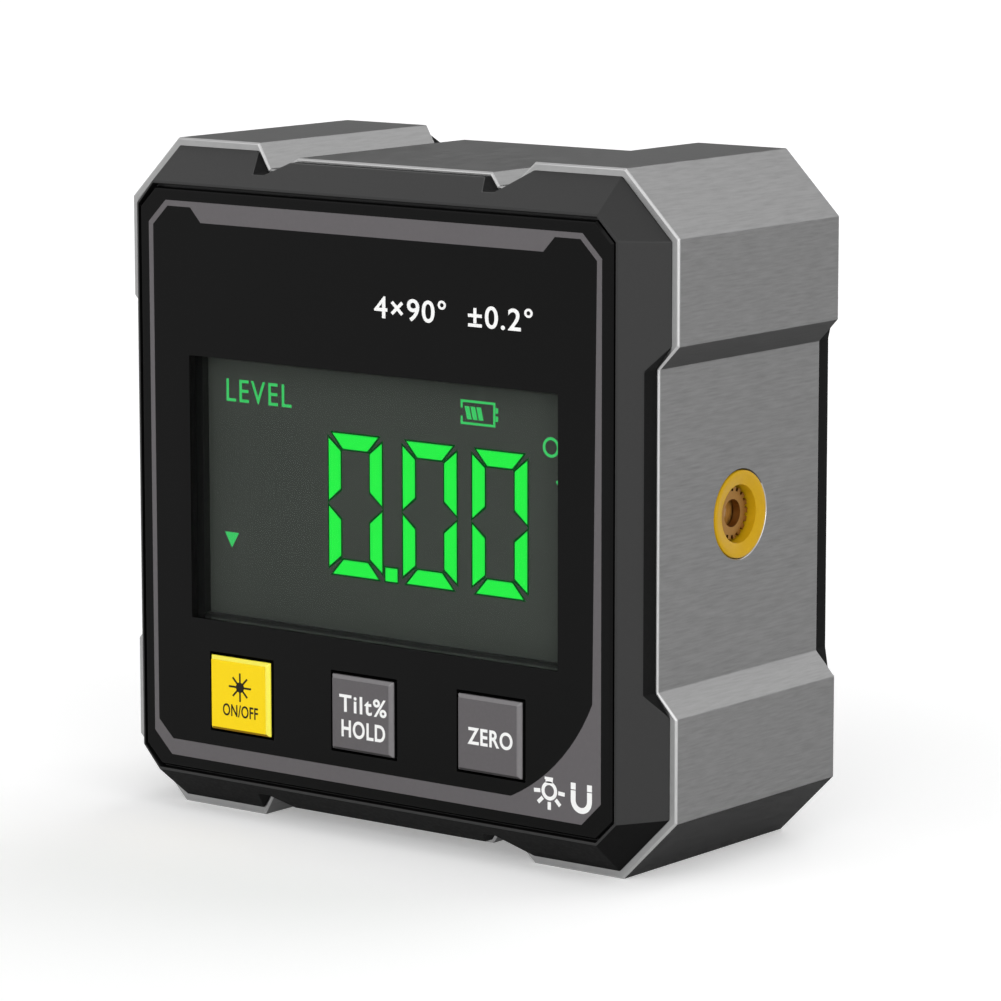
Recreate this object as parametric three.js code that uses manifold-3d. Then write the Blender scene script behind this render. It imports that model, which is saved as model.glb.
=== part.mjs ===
// A pocket digital inclinometer: a square extruded aluminium housing closed by a tapered
// front bezel with a display and three buttons, and by a tapered rear cover with a sliding
// battery door. A laser looks out of each side and magnets sit in the base.
// Millimetres, +Z up, the display faces -Y, the base stands on z = 0.
import * as THREE from 'three';
import { mergeVertices } from 'three/addons/utils/BufferGeometryUtils.js';
import Module from 'manifold-3d';

const wasm = await Module();
wasm.setup();

// Housing extrusion
const bodyWidth = 60;
const bodyHeight = 60;
const housingDepth = 23.6;
const cornerChamfer = 5.5;
const edgeChamfer = 0.25;
const housingWall = 1.85;

// Steps of the extruded outline: raised corner pads, a plateau between two notches on the
// top and the base, and a plain recess in each side. Each run counts inwards from the corner.
const plateauDrop = 1.1;
const notchDrop = 2.2;
const footPadRun = 9.35;
const leftNotch = { outerSlope: 1.25, floor: 1.25, innerSlope: 1.9 };
const rightNotch = { outerSlope: 2.55, floor: 1.25, innerSlope: 0.75 };
const sidePadRun = 8.9;
const sideSlopeRun = 2.05;
const sideRecessDrop = 1.95;

// Corner posts of the cavity, with one screw hole through each
const cavityCorner = 9.9;
const screwInset = 6.9;
const screwShank = 2;
const screwReach = 6;
const screwHeadWidth = 3.8;
const screwHeadHeight = 1.1;
const screwSlotLength = 2.4;
const screwSlotWidth = 0.5;
const screwSlotDepth = 0.5;

// Front bezel: a frustum standing inside the aluminium rim
const padRim = 0.65;
const stepRim = 0.33;
const bezelDepth = 3.6;
const bezelTaper = 2.9;
const bezelCorner = 2.05;
const lipWidth = 0.25;
const panelGroove = 0.25;
const skirtDepth = 2;
const skirtWall = 0.8;

// Front panel, display window and display, with margins from the edges of the panel
const panelThickness = 0.8;
const panelBevel = 0.2;
const windowSideMargin = 5.65;
const windowTopMargin = 14.65;
const windowBottomMargin = 13.85;
const windowClearance = 0.1;
const windowFlange = 1.4;
const windowFlangeThickness = 0.7;
const displayMask = 0.2;
const displayDrop = 2.3;
const displaySideBorder = 2.7;
const displayEndBorder = 2.1;
const displayThickness = 1.8;
const backlightThickness = 2.2;
const zebraEndInset = 2;
const zebraThickness = 1.3;
const zebraInset = 0.25;

// Buttons and their switches
const buttonWidth = 6.85;
const buttonHeight = 6.65;
const buttonSideMargin = 8.625;
const buttonRowShift = -0.65;
const buttonBottomMargin = 4.125;
const buttonProud = 0.5;
const buttonBevel = 0.4;
const buttonTravel = 0.4;
const buttonFlange = 0.5;
const buttonFlangeThickness = 0.8;
const switchWidth = 6;
const switchHeight = 3.3;
const stemWidth = 3.2;
const stemDepth = 1;

// Circuit board behind the display
const boardSetback = 4.9;
const boardThickness = 1.2;
const boardMargin = 0.6;
const bossWidth = 4;
const bossPilotDepth = 3.4;
const upperBossInset = { across: 8.2, rise: 6.2 };
const lowerBossInset = 4.2;
const lowerBossDrop = 2.8;
const boardScrewShank = 1.6;
const boardScrewHeadWidth = 3.2;
const boardScrewHeadHeight = 1;
const processorWidth = 10;
const processorThickness = 1.4;
const processorPlace = { across: -10, rise: 6 };
const tiltSensorWidth = 5;
const tiltSensorThickness = 1.1;
const tiltSensorPlace = { across: 8, rise: -7 };

// Rear cover with its battery compartment and sliding door
const rearRise = 3;
const rearTaper = 2.7;
const rearCorner = 2.6;
const compartmentWall = 1.2;
const compartmentFloor = 1;
const compartmentEndRoom = 0.6;
const cellFaceRoom = 0.6;
const doorHalfWidth = 11.9;
const doorThickness = 1.6;
const doorTongue = 1.1;
const doorTongueThickness = 0.7;
const doorOverlap = 0.6;
const slideGap = 0.2;
const doorGrooves = 4;
const doorGroovePitch = 2;
const doorGrooveLength = 12;
const doorGrooveHeight = 0.9;
const doorGrooveDepth = 0.5;
const doorGrooveInset = 11.45;

// Two AAA cells and their contacts: their length is what the compartment leaves
const cellWidth = 10.5;
const cellTipWidth = 3.8;
const cellTipHeight = 0.8;
const cellSpacing = 10.9;
const cellEdge = 0.5;
const contactThickness = 0.4;
const contactWidth = 8;
const contactTabWidth = 2;
const contactTabReach = 1.2;
const springRoom = 3.9;
const springBaseRadius = 3.1;
const springTipRadius = 2;
const springWire = 0.55;
const springTurns = 3;

// Laser in each side
const portWidth = 7.4;
const portOpening = 5;
const portProud = 0.15;
const portRimWidth = 0.35;
const portDish = 0.25;
const portFlange = 0.8;
const portFlangeThickness = 0.8;
const portClearance = 0.12;
const barrelWidth = 6.4;
const barrelEndRoom = 2.85;
const noseWidth = 4.5;
const apertureDrop = 0.75;
const apertureThickness = 0.7;
const apertureOpening = 2.4;
const apertureNotches = 18;
const apertureNotchWidth = 0.3;
const apertureNotchDepth = 0.35;
const lensWidth = 3;
const lensThickness = 0.9;
const lensCrown = 0.3;
const lensSteps = 4;
const laserBoardWidth = 5;
const laserBoardThickness = 0.8;
const cradleWidth = 3;
const cradleWall = 1.1;

// Base magnets, two in each foot
const magnetWidth = 6.8;
const magnetThickness = 2.4;
const magnetSunk = 0.1;

// Leads from the lasers and the battery contacts to the board
const leadWidth = 1;
const leadHandleShare = 0.6;
const laserLeadOffset = 1.2;
const laserLeadDrop = 4;
const batteryLeadDrop = 7.4;

// Shared clearance between fitted pieces, and the overrun of every cut
const fitGap = 0.25;
const overrun = 1;
const roundSteps = 16;
const fineRoundSteps = 40;
const wireSides = 5;
const stepsPerTurn = 8;
const leadSides = 8;
const leadSteps = 14;

// How much shorter both ends of a 45 degree corner cut become for each unit of inset
const cornerInsetShare = 2 - Math.SQRT2;

// Faces and places that several pieces share
const padCornerAcross = bodyWidth / 2 - cornerChamfer;
const padCornerRise = bodyHeight / 2 - cornerChamfer;
const cavityHalf = bodyWidth / 2 - sideRecessDrop - housingWall;
const cavityHalfHeight = bodyHeight / 2 - sideRecessDrop - housingWall;
const sideFloor = bodyWidth / 2 - sideRecessDrop;
const midDepth = housingDepth / 2;
const bezelFace = -bezelDepth;
const panelBack = bezelFace + panelThickness;
const windowBack = panelBack + windowFlangeThickness;
const bezelHalf = bodyWidth / 2 - padRim - bezelTaper;
const bezelHalfHeight = bodyHeight / 2 - padRim - bezelTaper;
const panelHalf = bezelHalf - lipWidth - panelGroove;
const panelHalfHeight = bezelHalfHeight - lipWidth - panelGroove;
const windowWidth = 2 * (panelHalf - windowSideMargin);
const windowHeight = 2 * panelHalfHeight - windowTopMargin - windowBottomMargin;
const windowRise = (windowBottomMargin - windowTopMargin) / 2;
const displayWidth = windowWidth + 2 * displaySideBorder;
const displayHeight = windowHeight + 2 * displayEndBorder;
const zebraLength = displayWidth - 2 * zebraEndInset;
const backlightHeight = displayHeight - 2 * (zebraThickness + 2 * zebraInset);
const displayFace = bezelFace + displayDrop;
const displayBack = displayFace + displayThickness;
const boardFront = boardSetback;
const boardBack = boardSetback + boardThickness;
const screwAcross = bodyWidth / 2 - screwInset;
const screwRise = bodyHeight / 2 - screwInset;
const rearFace = housingDepth + rearRise;
const buttonFace = bezelFace - buttonProud;
const buttonBack = buttonFlangeThickness;
const buttonPitch = panelHalf - buttonSideMargin - buttonWidth / 2;
const buttonRise = buttonBottomMargin + buttonHeight / 2 - panelHalfHeight;
const buttonPlaces = [-1, 0, 1].map((step) => buttonRowShift + step * buttonPitch);
const upperBossAcross = cavityHalf - upperBossInset.across;
const upperBossRise = cavityHalfHeight - upperBossInset.rise;
const lowerBossAcross = cavityHalf - lowerBossInset;
const lowerBossRise = windowRise - displayHeight / 2 - lowerBossDrop;
const cornerSigns = [[-1, -1], [1, -1], [1, 1], [-1, 1]];
const compartmentHalf = cellSpacing / 2 + cellWidth / 2 + fitGap;
const compartmentEnd = cavityHalfHeight - compartmentEndRoom - compartmentFloor;
const cellLength = 2 * (compartmentEnd - contactThickness) - springRoom;
const doorInner = rearFace - doorThickness;
const cellDepth = doorInner - slideGap - cellFaceRoom - cellWidth / 2;
const compartmentBack = cellDepth - cellWidth / 2 - fitGap;
const compartmentFront = compartmentBack - compartmentFloor;
const contactTabEnd = compartmentFront - contactTabReach;
const contactRise = compartmentEnd - contactThickness / 2;
const tubHalf = compartmentHalf + compartmentWall;
const barrelFront = -(housingWall + portFlangeThickness);
const barrelLength = sideFloor + barrelFront - laserBoardThickness - barrelEndRoom - tubHalf;
const laserEnd = sideFloor + barrelFront - barrelLength - laserBoardThickness;
const noseFront = portProud - portDish - apertureDrop - apertureThickness;
const magnetAcross = padCornerAcross - footPadRun / 2;
const magnetDepths = [housingDepth / 4, housingDepth * 3 / 4];

// A closed geometry as a solid that can be joined and cut.
function solid(geometry) {
  const bare = geometry.clone();
  bare.deleteAttribute('normal');
  bare.deleteAttribute('uv');
  const merged = mergeVertices(bare);
  const corners = merged.index.array;
  const kept = [];
  for (let i = 0; i < corners.length; i += 3) {
    const [a, b, c] = [corners[i], corners[i + 1], corners[i + 2]];
    if (a !== b && b !== c && c !== a) kept.push(a, b, c);
  }
  return new wasm.Manifold(new wasm.Mesh({
    numProp: 3,
    vertProperties: new Float32Array(merged.attributes.position.array),
    triVerts: new Uint32Array(kept),
  }));
}

// The finished solid as a flat-shaded geometry.
function geometryOf(shape) {
  const mesh = shape.getMesh();
  const geometry = new THREE.BufferGeometry();
  const positions = new Float32Array(mesh.vertProperties);
  geometry.setAttribute('position', new THREE.BufferAttribute(positions, 3));
  geometry.setIndex(new THREE.BufferAttribute(new Uint32Array(mesh.triVerts), 1));
  const flat = geometry.toNonIndexed();
  flat.computeVertexNormals();
  return flat;
}

// An outline of [across, up] points run along the depth, with equal chamfers at both ends.
function prism(outline, front, back, chamfer = 0) {
  const shape = new THREE.Shape(outline.map(([x, z]) => new THREE.Vector2(x, z)));
  const geometry = new THREE.ExtrudeGeometry(shape, {
    depth: back - front - 2 * chamfer,
    bevelEnabled: chamfer > 0,
    bevelThickness: chamfer,
    bevelSize: chamfer,
    bevelOffset: -chamfer,
    bevelSegments: 1,
  });
  geometry.rotateX(Math.PI / 2);
  geometry.translate(0, back - chamfer, 0);
  return solid(geometry);
}

// A straight-sided solid between two outlines with the same number of points.
function loft(frontOutline, front, backOutline, back) {
  const count = frontOutline.length;
  const positions = [];
  for (const [x, z] of frontOutline) positions.push(x, front, z);
  for (const [x, z] of backOutline) positions.push(x, back, z);
  const flatPoints = frontOutline.map(([x, z]) => new THREE.Vector2(x, z));
  const index = [];
  for (const [a, b, c] of THREE.ShapeUtils.triangulateShape(flatPoints, [])) {
    index.push(a, b, c);
    index.push(count + a, count + c, count + b);
  }
  for (let i = 0; i < count; i += 1) {
    const next = (i + 1) % count;
    index.push(i, count + i, next);
    index.push(next, count + i, count + next);
  }
  const geometry = new THREE.BufferGeometry();
  geometry.setAttribute('position', new THREE.Float32BufferAttribute(positions, 3));
  geometry.setIndex(index);
  return solid(geometry);
}

// A box by its width, depth range, and height about a centre.
function box(width, front, back, height, across = 0, rise = 0) {
  const geometry = new THREE.BoxGeometry(width, back - front, height);
  geometry.translate(across, (front + back) / 2, rise);
  return solid(geometry);
}

// A round bar along the depth.
function bar(width, front, back, across = 0, rise = 0, steps = roundSteps) {
  const geometry = new THREE.CylinderGeometry(width / 2, width / 2, back - front, steps);
  geometry.translate(across, (front + back) / 2, rise);
  return solid(geometry);
}

// A round bar standing up.
function post(width, low, high, across, depth, steps = roundSteps) {
  const geometry = new THREE.CylinderGeometry(width / 2, width / 2, high - low, steps);
  geometry.rotateX(Math.PI / 2);
  geometry.translate(across, depth, (low + high) / 2);
  return solid(geometry);
}

// A turned piece along X from a profile of [radius, along] points that closes or ends on the axis.
function turned(profile, steps = fineRoundSteps) {
  const points = profile.map(([radius, along]) => new THREE.Vector2(radius, along));
  const geometry = new THREE.LatheGeometry(points, steps);
  geometry.rotateZ(-Math.PI / 2);
  return solid(geometry);
}

// A rectangle with cut corners, as an outline of [across, up] points.
function octagon(halfWidth, halfHeight, corner, inset = 0) {
  const w = halfWidth - inset;
  const h = halfHeight - inset;
  const c = corner - inset * cornerInsetShare;
  return [
    [w, -h + c], [w, h - c], [w - c, h], [-w + c, h],
    [-w, h - c], [-w, -h + c], [-w + c, -h], [w - c, -h],
  ];
}

function rectangle(width, height, rise = 0) {
  const w = width / 2;
  const h = height / 2;
  return [[w, rise - h], [w, rise + h], [-w, rise + h], [-w, rise - h]];
}

// The stepped body outline, drawn in from the pads by one inset and from the steps by another.
function bodyOutline(padInset = 0, stepInset = 0) {
  const halfWidth = bodyWidth / 2 - padInset;
  const halfHeight = bodyHeight / 2 - padInset;
  const corner = cornerChamfer - padInset * cornerInsetShare;
  const recess = sideFloor - stepInset;
  const sidePadEnd = padCornerRise - sidePadRun;
  const footPadEnd = padCornerAcross - footPadRun;
  const plateau = bodyHeight / 2 - plateauDrop - stepInset;
  const floor = bodyHeight / 2 - notchDrop - stepInset;
  const outline = [];
  for (const [signX, signZ] of [[1, 1], [-1, 1], [-1, -1], [1, -1]]) {
    const notch = signX > 0 ? rightNotch : leftNotch;
    const floorOuter = footPadEnd - notch.outerSlope;
    const floorInner = floorOuter - notch.floor;
    const quarter = [
      [recess, sidePadEnd - sideSlopeRun],
      [halfWidth, sidePadEnd],
      [halfWidth, halfHeight - corner],
      [halfWidth - corner, halfHeight],
      [footPadEnd, halfHeight],
      [floorOuter, floor],
      [floorInner, floor],
      [floorInner - notch.innerSlope, plateau],
    ];
    if (signX * signZ < 0) quarter.reverse();
    for (const [x, z] of quarter) outline.push([signX * x, signZ * z]);
  }
  return outline;
}

function cavityOutline(inset = 0) {
  return octagon(cavityHalf, cavityHalfHeight, cavityCorner, inset);
}

// The tapered end of the body: the stepped outline inside the rim, cut to a frustum.
function taperedEnd(rootPlane, outerPlane, taper, corner) {
  const front = Math.min(rootPlane, outerPlane);
  const back = Math.max(rootPlane, outerPlane);
  const rootCorner = cornerChamfer - padRim * cornerInsetShare;
  const halfWidth = bodyWidth / 2 - padRim;
  const halfHeight = bodyHeight / 2 - padRim;
  const root = octagon(halfWidth, halfHeight, rootCorner);
  const outer = octagon(halfWidth - taper, halfHeight - taper, corner);
  const frustum = rootPlane < outerPlane
    ? loft(root, front, outer, back)
    : loft(outer, front, root, back);
  return prism(bodyOutline(padRim, stepRim), front, back).intersect(frustum);
}

// A ring that plugs into the cavity and centres a cover on the housing.
function skirt(front, back) {
  const ring = prism(cavityOutline(fitGap), front, back);
  return ring.subtract(prism(cavityOutline(fitGap + skirtWall), front - overrun, back + overrun));
}

function forEachCorner(action) {
  for (const [signX, signZ] of cornerSigns) action(signX * screwAcross, signZ * screwRise);
}

function housing() {
  let shape = prism(bodyOutline(), 0, housingDepth, edgeChamfer);
  shape = shape.subtract(prism(cavityOutline(), -overrun, housingDepth + overrun));
  forEachCorner((x, z) => {
    shape = shape.subtract(bar(screwShank + 2 * fitGap, -overrun, housingDepth + overrun, x, z));
  });
  const portHole = new THREE.CylinderGeometry(
    portWidth / 2 + portClearance, portWidth / 2 + portClearance, bodyWidth + overrun, fineRoundSteps);
  portHole.rotateZ(Math.PI / 2);
  portHole.translate(0, midDepth, 0);
  shape = shape.subtract(solid(portHole));
  const foot = -bodyHeight / 2;
  for (const side of [-1, 1]) {
    for (const depth of magnetDepths) {
      const top = foot + magnetSunk + magnetThickness;
      const pocket = post(magnetWidth + 2 * fitGap, foot - overrun, top, side * magnetAcross, depth);
      shape = shape.subtract(pocket);
    }
  }
  return shape;
}

function screwClearance(x, z, headFace, inward) {
  const headSeat = headFace + inward * (screwHeadHeight + fitGap);
  const far = headSeat + inward * bodyHeight;
  const counterbore = bar(screwHeadWidth + 2 * fitGap, Math.min(headFace - inward * overrun, headSeat),
    Math.max(headFace - inward * overrun, headSeat), x, z);
  const through = bar(screwShank + 2 * fitGap, Math.min(headSeat, far), Math.max(headSeat, far), x, z);
  return counterbore.add(through);
}

function boardBosses() {
  return [
    [-upperBossAcross, upperBossRise], [upperBossAcross, upperBossRise],
    [-lowerBossAcross, lowerBossRise], [lowerBossAcross, lowerBossRise],
  ];
}

function frontBezel() {
  let shape = taperedEnd(0, bezelFace, bezelTaper, bezelCorner);
  shape = shape.add(skirt(0, skirtDepth));
  for (const [x, z] of boardBosses()) shape = shape.add(bar(bossWidth, -fitGap, boardFront, x, z));
  const pocket = octagon(bezelHalf, bezelHalfHeight, bezelCorner, lipWidth);
  shape = shape.subtract(prism(pocket, bezelFace - overrun, panelBack));
  const flangeWidth = windowWidth + 2 * windowFlange + 2 * fitGap;
  const flangeHeight = windowHeight + 2 * windowFlange + 2 * fitGap;
  shape = shape.subtract(prism(rectangle(flangeWidth, flangeHeight, windowRise), bezelFace, windowBack));
  const opening = rectangle(windowWidth - 2 * displayMask, windowHeight - 2 * displayMask, windowRise);
  shape = shape.subtract(prism(opening, bezelFace, overrun));
  const seat = rectangle(displayWidth + 2 * fitGap, displayHeight + 2 * fitGap, windowRise);
  shape = shape.subtract(prism(seat, displayFace, overrun));
  for (const x of buttonPlaces) {
    shape = shape.subtract(box(buttonWidth + 2 * fitGap, bezelFace, overrun, buttonHeight + 2 * fitGap,
      x, buttonRise));
  }
  forEachCorner((x, z) => {
    shape = shape.subtract(screwClearance(x, z, panelBack, 1));
  });
  for (const [x, z] of boardBosses()) {
    const pilot = bar(boardScrewShank + 2 * fitGap, boardFront - bossPilotDepth, boardFront + overrun, x, z);
    shape = shape.subtract(pilot);
  }
  return shape;
}

function frontPanel() {
  const outline = octagon(bezelHalf, bezelHalfHeight, bezelCorner, lipWidth + panelGroove);
  const bevelled = octagon(bezelHalf, bezelHalfHeight, bezelCorner, lipWidth + panelGroove + panelBevel);
  let shape = loft(bevelled, bezelFace, outline, bezelFace + panelBevel);
  shape = shape.add(prism(outline, bezelFace + panelBevel, panelBack));
  const opening = rectangle(windowWidth, windowHeight, windowRise);
  shape = shape.subtract(prism(opening, bezelFace - overrun, panelBack + overrun));
  for (const x of buttonPlaces) {
    shape = shape.subtract(box(buttonWidth + 2 * fitGap, bezelFace - overrun, panelBack + overrun,
      buttonHeight + 2 * fitGap, x, buttonRise));
  }
  return shape;
}

function displayWindow() {
  const clear = rectangle(windowWidth - 2 * windowClearance, windowHeight - 2 * windowClearance, windowRise);
  const flange = rectangle(windowWidth + 2 * windowFlange, windowHeight + 2 * windowFlange, windowRise);
  return prism(clear, bezelFace, windowBack).add(prism(flange, panelBack, windowBack));
}

function displayGlass() {
  return prism(rectangle(displayWidth, displayHeight, windowRise), displayFace, displayBack);
}

function backlight() {
  const outline = rectangle(displayWidth, backlightHeight, windowRise);
  return prism(outline, displayBack, displayBack + backlightThickness);
}

// The strip that connects one edge of the display to the board.
function zebraStrip(side) {
  const rise = windowRise + side * (displayHeight / 2 - zebraInset - zebraThickness / 2);
  return box(zebraLength, displayBack, boardFront, zebraThickness, 0, rise);
}

function mainBoard() {
  let shape = prism(cavityOutline(boardMargin), boardFront, boardBack);
  const holeWidth = boardScrewShank + 2 * fitGap;
  for (const [x, z] of boardBosses()) {
    shape = shape.subtract(bar(holeWidth, boardFront - overrun, boardBack + overrun, x, z));
  }
  return shape;
}

function boardScrew() {
  const shank = bar(boardScrewShank, boardFront - bossPilotDepth + fitGap, boardBack);
  return shank.add(bar(boardScrewHeadWidth, boardBack, boardBack + boardScrewHeadHeight));
}

// A button about its own centre: the cap, its flange behind the bezel and the chamfered face.
function button() {
  const outline = rectangle(buttonWidth, buttonHeight);
  const face = rectangle(buttonWidth - 2 * buttonBevel, buttonHeight - 2 * buttonBevel);
  const bevel = loft(face, buttonFace, outline, buttonFace + buttonBevel);
  const cap = prism(outline, buttonFace + buttonBevel, 0);
  const flange = rectangle(buttonWidth + 2 * buttonFlange, buttonHeight + 2 * buttonFlange);
  return bevel.add(cap).add(prism(flange, 0, buttonBack));
}

// The stem stands in the switch and bears on the back of the button.
function switchBody() {
  const front = boardFront - switchHeight;
  const body = box(switchWidth, front, boardFront, switchWidth);
  const socketEnd = front + stemDepth + buttonTravel + fitGap;
  return body.subtract(bar(stemWidth + 2 * fitGap, front - overrun, socketEnd));
}

function switchStem() {
  return bar(stemWidth, buttonBack, boardFront - switchHeight + stemDepth);
}

// A cross-recessed screw about its own axis, driven from its head face into the housing.
function cornerScrew(headFace, inward) {
  const seat = headFace + inward * screwHeadHeight;
  const tip = (inward > 0 ? 0 : housingDepth) + inward * screwReach;
  const shank = bar(screwShank, Math.min(seat, tip), Math.max(seat, tip));
  const head = bar(screwHeadWidth, Math.min(headFace, seat), Math.max(headFace, seat));
  const slotStart = headFace - inward * overrun;
  const slotEnd = headFace + inward * screwSlotDepth;
  const [front, back] = [Math.min(slotStart, slotEnd), Math.max(slotStart, slotEnd)];
  return shank.add(head)
    .subtract(box(screwSlotLength, front, back, screwSlotWidth))
    .subtract(box(screwSlotWidth, front, back, screwSlotLength));
}

// The ways of the battery door: a channel with a groove under a lip on each side.
function doorSpace(gap) {
  const low = -compartmentEnd - doorOverlap - gap;
  const high = bodyHeight / 2 + overrun;
  const middle = (low + high) / 2;
  const length = high - low;
  const wide = 2 * (doorHalfWidth + doorTongue + gap);
  const tongue = box(wide, doorInner - gap, doorInner + doorTongueThickness + gap, length, 0, middle);
  return tongue.add(box(2 * (doorHalfWidth + gap), doorInner - gap, rearFace + overrun, length, 0, middle));
}

function rearBlank() {
  return taperedEnd(housingDepth, rearFace, rearTaper, rearCorner);
}

function laserCradle(side) {
  const inner = side * (sideFloor + barrelFront - barrelLength / 2);
  const height = barrelWidth + 2 * fitGap + 2 * cradleWall;
  const block = box(cradleWidth, midDepth, housingDepth, height, inner);
  const saddle = new THREE.CylinderGeometry(
    barrelWidth / 2 + fitGap, barrelWidth / 2 + fitGap, cradleWidth + overrun, roundSteps);
  saddle.rotateZ(Math.PI / 2);
  saddle.translate(inner, midDepth, 0);
  return block.subtract(solid(saddle));
}

function rearCover() {
  let shape = rearBlank().add(skirt(housingDepth - skirtDepth, housingDepth));
  const tubHeight = 2 * (compartmentEnd + compartmentFloor);
  shape = shape.add(box(2 * tubHalf, compartmentFront, housingDepth, tubHeight));
  for (const side of [-1, 1]) shape = shape.add(laserCradle(side));
  shape = shape.subtract(box(2 * compartmentHalf, compartmentBack, rearFace, 2 * compartmentEnd));
  for (const side of [-1, 1]) {
    shape = shape.subtract(box(contactTabWidth + 2 * fitGap, compartmentFront - overrun,
      compartmentBack + overrun, contactThickness + 2 * fitGap, side * cellSpacing / 2, contactRise));
  }
  shape = shape.subtract(doorSpace(slideGap));
  forEachCorner((x, z) => {
    shape = shape.subtract(screwClearance(x, z, rearFace, -1));
  });
  return shape;
}

function batteryDoor() {
  let shape = doorSpace(0).intersect(rearBlank());
  const lowestGroove = bodyHeight / 2 - padRim - rearTaper - doorGrooveInset;
  for (let i = 0; i < doorGrooves; i += 1) {
    const rise = lowestGroove + i * doorGroovePitch;
    shape = shape.subtract(box(doorGrooveLength, rearFace - doorGrooveDepth, rearFace + overrun,
      doorGrooveHeight, 0, rise));
  }
  return shape;
}

// A cell about the middle of the compartment, its tip up for side -1 and down for side 1.
function batteryCell(side) {
  const tip = -side * (cellLength + springRoom) / 2;
  const shoulder = tip + side * cellTipHeight;
  const end = tip + side * cellLength;
  const [low, high] = [Math.min(shoulder, end), Math.max(shoulder, end)];
  const half = cellWidth / 2;
  const points = [[0, low], [half - cellEdge, low], [half, low + cellEdge], [half, high - cellEdge],
    [half - cellEdge, high], [0, high]].map(([radius, along]) => new THREE.Vector2(radius, along));
  const body = new THREE.LatheGeometry(points, roundSteps);
  body.rotateX(Math.PI / 2);
  const can = solid(body);
  return can.add(post(cellTipWidth, Math.min(tip, shoulder), Math.max(tip, shoulder), 0, 0));
}

// A conical spring from a contact plate to the flat end of a cell.
class SpringCurve extends THREE.Curve {
  constructor(height) {
    super();
    this.height = height;
  }

  getPoint(t, target = new THREE.Vector3()) {
    const angle = t * springTurns * 2 * Math.PI;
    const radius = springBaseRadius + t * (springTipRadius - springBaseRadius);
    return target.set(radius * Math.cos(angle), radius * Math.sin(angle), springWire / 2 + t * this.height);
  }
}

function batterySpring(side) {
  const curve = new SpringCurve(springRoom - springWire - 2 * fitGap);
  const section = [];
  for (let i = 0; i < wireSides; i += 1) {
    const angle = i * 2 * Math.PI / wireSides;
    section.push(new THREE.Vector2(Math.cos(angle) * springWire / 2, Math.sin(angle) * springWire / 2));
  }
  const geometry = new THREE.ExtrudeGeometry(new THREE.Shape(section), {
    steps: springTurns * stepsPerTurn,
    bevelEnabled: false,
    extrudePath: curve,
  });
  geometry.translate(0, 0, fitGap);
  if (side > 0) geometry.rotateX(Math.PI);
  return solid(geometry);
}

// The least clear gap between neighbouring turns of the spring wire.
function springGap() {
  const curve = new SpringCurve(springRoom - springWire - 2 * fitGap);
  const samples = springTurns * fineRoundSteps;
  const points = [];
  for (let i = 0; i <= samples; i += 1) points.push(curve.getPoint(i / samples));
  let least = Infinity;
  for (let i = 0; i <= samples; i += 1) {
    for (let j = i + fineRoundSteps / 2; j <= samples; j += 1) {
      least = Math.min(least, points[i].distanceTo(points[j]));
    }
  }
  return least - springWire;
}

function contactPlate(width) {
  return box(width, -contactWidth / 2, contactWidth / 2, contactThickness);
}

// An upper contact has a tab that passes through the compartment's floor to its lead.
function tabbedContact() {
  const tab = box(contactTabWidth, contactTabEnd - cellDepth, 0, contactThickness);
  return contactPlate(contactWidth).add(tab);
}

// A round lead to the back of the board, square to the board at both ends and lower at its end.
function lead(across, startDepth, startRise, drop) {
  const endDepth = boardBack + fitGap;
  const handle = leadHandleShare * (startDepth - endDepth);
  const curve = new THREE.CubicBezierCurve3(
    new THREE.Vector3(across, startDepth, startRise),
    new THREE.Vector3(across, startDepth - handle, startRise),
    new THREE.Vector3(across, endDepth + handle, startRise - drop),
    new THREE.Vector3(across, endDepth, startRise - drop));
  const section = [];
  for (let i = 0; i < leadSides; i += 1) {
    const angle = i * 2 * Math.PI / leadSides;
    section.push(new THREE.Vector2(Math.cos(angle) * leadWidth / 2, Math.sin(angle) * leadWidth / 2));
  }
  return solid(new THREE.ExtrudeGeometry(new THREE.Shape(section), {
    steps: leadSteps,
    bevelEnabled: false,
    extrudePath: curve,
  }));
}

function laserLead(side) {
  const across = side * (laserEnd - fitGap - leadWidth / 2);
  return lead(across, midDepth - laserLeadOffset, 0, laserLeadDrop);
}

function batteryLead(side) {
  return lead(side * cellSpacing / 2, contactTabEnd - fitGap, contactRise, batteryLeadDrop);
}

// Laser pieces are turned about X with the recess floor of the housing at along = 0.
function portRing() {
  const face = portProud;
  const back = barrelFront;
  return turned([
    [portOpening / 2, back],
    [portWidth / 2 + portFlange, back],
    [portWidth / 2 + portFlange, -housingWall],
    [portWidth / 2, -housingWall],
    [portWidth / 2, face],
    [portWidth / 2 - portRimWidth, face],
    [portOpening / 2, face - portDish],
    [portOpening / 2, back],
  ]);
}

// The barrel's nose stands in the port ring and holds the lens.
function laserBarrel() {
  const back = barrelFront - barrelLength;
  const lensSeat = noseFront - lensThickness;
  return turned([
    [0, back],
    [barrelWidth / 2, back],
    [barrelWidth / 2, barrelFront],
    [noseWidth / 2, barrelFront],
    [noseWidth / 2, noseFront],
    [lensWidth / 2 + fitGap, noseFront],
    [lensWidth / 2 + fitGap, lensSeat],
    [0, lensSeat],
  ]);
}

// A notched ring on the face of the nose, over the lens.
function apertureRing() {
  const back = noseFront;
  const front = back + apertureThickness;
  const outer = noseWidth / 2;
  const inner = apertureOpening / 2;
  let shape = turned([[inner, back], [outer, back], [outer, front], [inner, front], [inner, back]]);
  for (let i = 0; i < apertureNotches; i += 1) {
    const notch = new THREE.BoxGeometry(apertureThickness, apertureNotchWidth, apertureNotchDepth * 2);
    notch.translate(front, 0, outer);
    notch.rotateX(i * 2 * Math.PI / apertureNotches);
    shape = shape.subtract(solid(notch));
  }
  return shape;
}

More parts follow.
